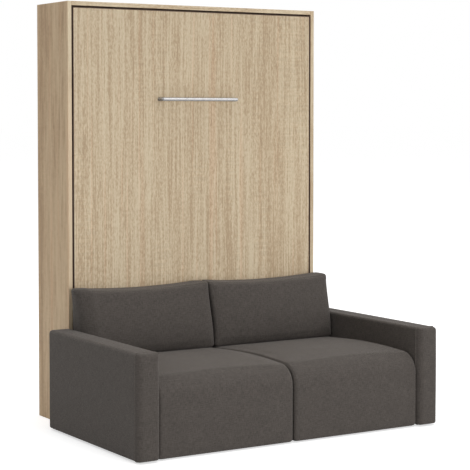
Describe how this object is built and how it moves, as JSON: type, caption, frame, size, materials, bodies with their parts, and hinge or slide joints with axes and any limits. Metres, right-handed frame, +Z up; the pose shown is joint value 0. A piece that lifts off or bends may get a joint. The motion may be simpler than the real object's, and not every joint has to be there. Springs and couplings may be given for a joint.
{
  "type": "wall bed with sofa",
  "caption": "Upright fold-down wall bed in a shallow oak cabinet behind a fabric sofa; the bed swings down over the seats on side pivots, with gas struts and a hoop leg.",
  "frame": {"origin": "on the floor, in the middle of the footprint of cabinet and sofa together", "axes": "+Z up, +Y from the sofa towards the wall behind the cabinet, +X to the right seen from the room"},
  "size_m": [1.7422, 1.2948, 2.17],
  "materials": {
    "oak": "matt pale oak decor with upright grain",
    "birch": "lacquered birch plywood",
    "dark_board": "dark stained board",
    "brushed_metal": "brushed",
    "black_steel": "black powder coat",
    "zinc_steel": "zinc plated",
    "sofa_fabric": "dark grey-brown matt weave",
    "mattress_fabric": "knitted mattress ticking",
    "black_plastic": "matt"
  },
  "bodies": {
    "cabinet": {"side_panel_left": "oak", "side_panel_right": "oak", "top_panel": "oak", "bottom_panel": "oak", "lower_front_panel": "oak", "back_rail_top": "oak", "back_rail_bottom": "oak", "wall_bracket_left": "zinc_steel", "wall_bracket_right": "zinc_steel", "pivot_plate_left": "black_steel", "pivot_plate_right": "black_steel", "strut_bracket_left": "black_steel", "strut_bracket_right": "black_steel", "sofa_back_board": "dark_board", "arm_left": "sofa_fabric", "arm_right": "sofa_fabric", "foot_left_front": "black_plastic", "foot_left_back": "black_plastic", "foot_right_front": "black_plastic", "foot_right_back": "black_plastic", "seat_left": "sofa_fabric", "seat_right": "sofa_fabric", "seat_base_left": "dark_board", "seat_base_right": "dark_board", "skid_left_front": "black_plastic", "skid_left_back": "black_plastic", "skid_right_front": "black_plastic", "skid_right_back": "black_plastic"},
    "bed": {"bed_panel": "oak", "frame_rail_left": "birch", "frame_rail_right": "birch", "frame_rail_head": "birch", "frame_rail_foot": "birch", "frame_rail_centre": "birch", "slat_01": "birch", "slat_02": "birch", "slat_03": "birch", "slat_04": "birch", "slat_05": "birch", "slat_06": "birch", "slat_07": "birch", "slat_08": "birch", "slat_09": "birch", "slat_10": "birch", "mattress": "mattress_fabric", "bed_pivot_plate_left": "black_steel", "bed_pivot_plate_right": "black_steel", "bed_strut_bracket_left": "black_steel", "bed_strut_bracket_right": "black_steel", "leg_bracket_left": "black_steel", "leg_bracket_right": "black_steel", "handle": "brushed_metal"},
    "leg": {"leg_hoop": "black_steel"},
    "strut_cylinder_left": {"strut_cylinder_left": "black_steel"},
    "strut_cylinder_right": {"strut_cylinder_right": "black_steel"},
    "strut_rod_left": {"strut_rod_left": "zinc_steel"},
    "strut_rod_right": {"strut_rod_right": "zinc_steel"},
    "back_cushion_left": {"back_cushion_left": "sofa_fabric"},
    "back_cushion_right": {"back_cushion_right": "sofa_fabric"}
  },
  "joints": [
    {"name": "bed_fold", "type": "hinge", "parent": "cabinet", "child": "bed", "pos_m": [0, 0.32259, 0.48], "axis": [1, 0, 0], "range_deg": [0, 90]},
    {"name": "leg_swing", "type": "hinge", "parent": "bed", "child": "leg", "pos_m": [0, 0.39259, 2.085], "axis": [1, 0, 0], "range_deg": [0, 246]},
    {"name": "strut_tilt_left", "type": "hinge", "parent": "cabinet", "child": "strut_cylinder_left", "pos_m": [-0.7188, 0.44259, 0.82], "axis": [1, 0, 0], "range_deg": [0, 16]},
    {"name": "strut_tilt_right", "type": "hinge", "parent": "cabinet", "child": "strut_cylinder_right", "pos_m": [0.7188, 0.44259, 0.82], "axis": [1, 0, 0], "range_deg": [0, 16]},
    {"name": "strut_slide_left", "type": "slide", "parent": "strut_cylinder_left", "child": "strut_rod_left", "axis": [0, 0.1807, 0.9835], "range_m": [0, 0.187]},
    {"name": "strut_slide_right", "type": "slide", "parent": "strut_cylinder_right", "child": "strut_rod_right", "axis": [0, 0.1807, 0.9835], "range_m": [0, 0.187]},
    {"name": "cushion_turn_left", "type": "hinge", "parent": "cabinet", "child": "back_cushion_left", "pos_m": [0, -0.30891, 0.3615], "axis": [1, 0, 0], "range_deg": [0, 180]},
    {"name": "cushion_turn_right", "type": "hinge", "parent": "cabinet", "child": "back_cushion_right", "pos_m": [0, -0.30891, 0.3615], "axis": [1, 0, 0], "range_deg": [0, 180]}
  ],
  "couplings": [
    {"joint": "leg_swing", "follows": "bed_fold", "ratio": 2.7333},
    {"joint": "strut_tilt_left", "follows": "bed_fold", "ratio": 0.17706},
    {"joint": "strut_tilt_right", "follows": "bed_fold", "ratio": 0.17706},
    {"joint": "strut_slide_left", "follows": "bed_fold", "m_per_rad": 0.11889},
    {"joint": "strut_slide_right", "follows": "bed_fold", "m_per_rad": 0.11889},
    {"joint": "cushion_turn_left", "follows": "bed_fold", "ratio": 2},
    {"joint": "cushion_turn_right", "follows": "bed_fold", "ratio": 2}
  ]
}
